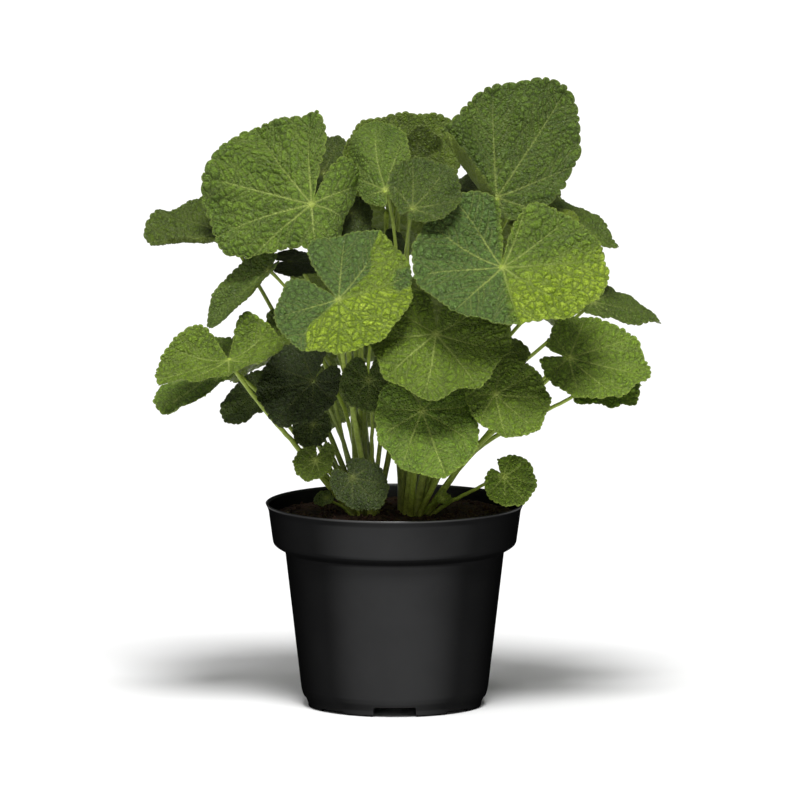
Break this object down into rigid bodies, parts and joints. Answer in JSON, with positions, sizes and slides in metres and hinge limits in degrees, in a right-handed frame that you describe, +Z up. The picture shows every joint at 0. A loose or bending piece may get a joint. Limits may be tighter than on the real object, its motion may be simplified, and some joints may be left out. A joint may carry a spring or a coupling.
{
  "type": "potted hollyhock",
  "caption": "Bushy leafy hollyhock plant with rounded, crinkled leaves, growing in a round black plastic nursery pot.",
  "frame": {"origin": "centre of the pot's footprint, on the ground", "axes": "+Z up along the pot's axis, -Y towards the viewer of the picture, +X to the right of the picture"},
  "size_m": [0.379, 0.2732, 0.4625],
  "materials": {
    "pot_plastic": "smooth black polypropylene, satin",
    "compost": "loose dark peat compost, rough",
    "leaf_green": "quilted mid-green leaf with paler veins, semi-gloss"
  },
  "bodies": {
    "root": {"pot": "pot_plastic", "soil": "compost", "leaf_top_left_large": "leaf_green", "leaf_far_left": "leaf_green", "leaf_top_centre": "leaf_green", "leaf_back_top": "leaf_green", "leaf_top_small": "leaf_green", "leaf_top_right_large": "leaf_green", "leaf_right_large": "leaf_green", "leaf_left_large": "leaf_green", "leaf_centre_large": "leaf_green", "leaf_centre_low": "leaf_green", "leaf_right_low": "leaf_green", "leaf_far_right": "leaf_green", "leaf_far_right_under": "leaf_green", "leaf_rim_right": "leaf_green", "leaf_front_foot": "leaf_green", "leaf_left_shaded": "leaf_green", "leaf_centre_shaded": "leaf_green", "leaf_left_small": "leaf_green", "leaf_left_wide": "leaf_green", "leaf_left_under": "leaf_green", "leaf_left_folded": "leaf_green", "leaf_left_inner": "leaf_green", "leaf_left_tucked": "leaf_green", "leaf_left_shaded_low": "leaf_green", "leaf_centre_back_small": "leaf_green", "leaf_top_tucked": "leaf_green", "leaf_left_shaded_small": "leaf_green", "leaf_top_shaded": "leaf_green", "leaf_back_left_top": "leaf_green", "leaf_right_back": "leaf_green", "leaf_far_right_back": "leaf_green", "leaf_top_cupped": "leaf_green", "leaf_inner_shaded": "leaf_green", "leaf_soil_left": "leaf_green", "leaf_shoot_right": "leaf_green", "leaf_right_olive": "leaf_green", "leaf_back_01": "leaf_green", "leaf_back_02": "leaf_green", "leaf_back_03": "leaf_green", "leaf_back_04": "leaf_green", "leaf_back_05": "leaf_green", "leaf_back_06": "leaf_green", "leaf_back_07": "leaf_green", "leaf_back_08": "leaf_green", "leaf_back_09": "leaf_green", "leaf_back_10": "leaf_green", "leaf_back_11": "leaf_green", "leaf_back_12": "leaf_green", "leaf_back_14": "leaf_green", "leaf_back_13": "leaf_green"}
  },
  "joints": []
}
